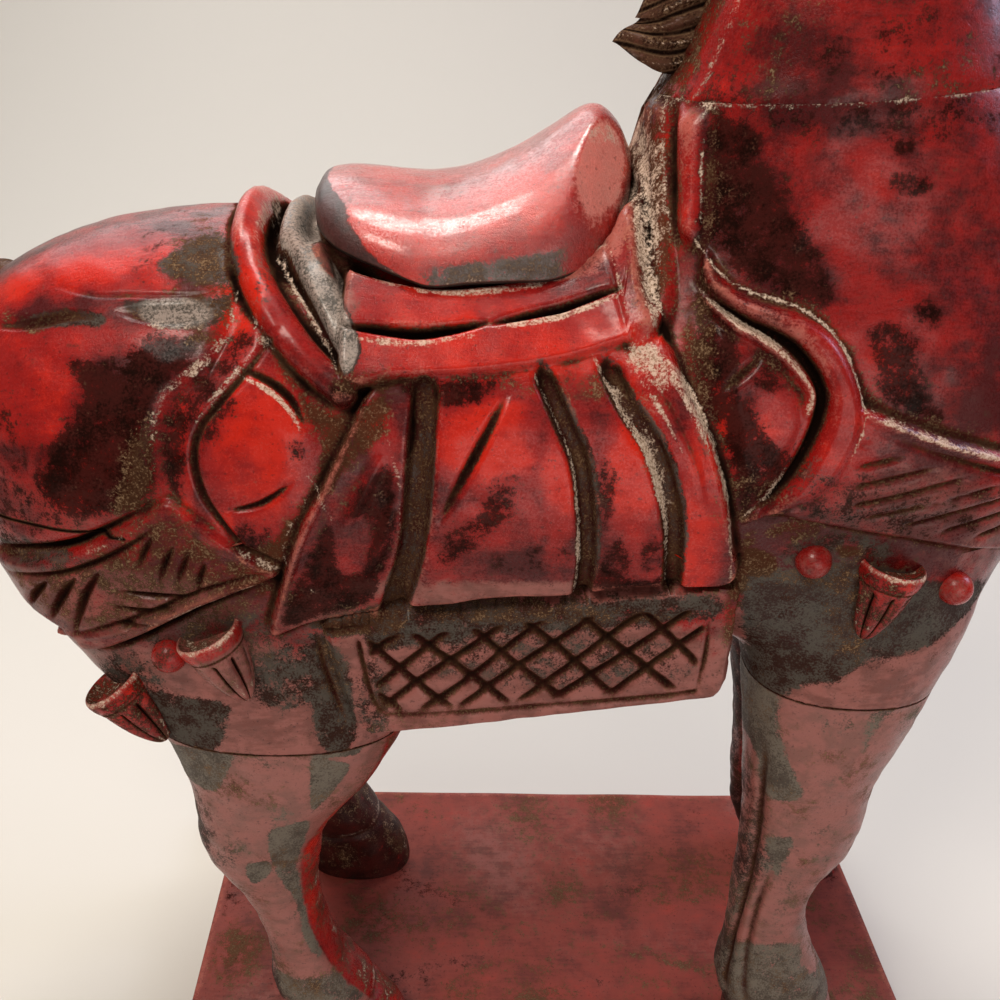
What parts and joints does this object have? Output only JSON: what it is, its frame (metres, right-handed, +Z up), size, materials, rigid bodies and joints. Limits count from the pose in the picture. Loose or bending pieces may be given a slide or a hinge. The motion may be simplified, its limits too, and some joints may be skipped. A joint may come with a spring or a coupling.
{
  "type": "carved wooden horse",
  "caption": "Carved and lacquered wooden horse with saddle and harness, glued up from doweled blocks and standing on a flat board.",
  "frame": {"origin": "middle of the board's underside", "axes": "+X the way the horse faces, +Y its left side, +Z up"},
  "size_m": [0.2278, 0.104, 0.3096],
  "materials": {
    "red_lacquer": "worn red lacquer over carved wood",
    "board_lacquer": "dull worn red lacquer over wood",
    "dark_lacquer": "dark lacquer over carved wood",
    "dowel_wood": "bare turned wood"
  },
  "bodies": {
    "root": {"trunk_lower_block": "red_lacquer", "trunk_upper_block": "red_lacquer", "head_and_neck_block": "red_lacquer", "left_ear": "red_lacquer", "right_ear": "red_lacquer", "right_fore_leg": "red_lacquer", "left_fore_leg": "red_lacquer", "right_hind_leg": "red_lacquer", "left_hind_leg": "red_lacquer", "saddle": "red_lacquer", "breast_beads": "red_lacquer", "rump_beads": "red_lacquer", "base_board": "board_lacquer", "mane_crest": "dark_lacquer", "tail": "dark_lacquer", "trunk_dowels": "dowel_wood", "neck_dowels": "dowel_wood", "leg_dowels": "dowel_wood", "hoof_pegs": "dowel_wood", "mane_pegs": "dowel_wood", "ear_pegs": "dowel_wood", "tail_peg": "dowel_wood", "saddle_pegs": "dowel_wood"}
  },
  "joints": []
}
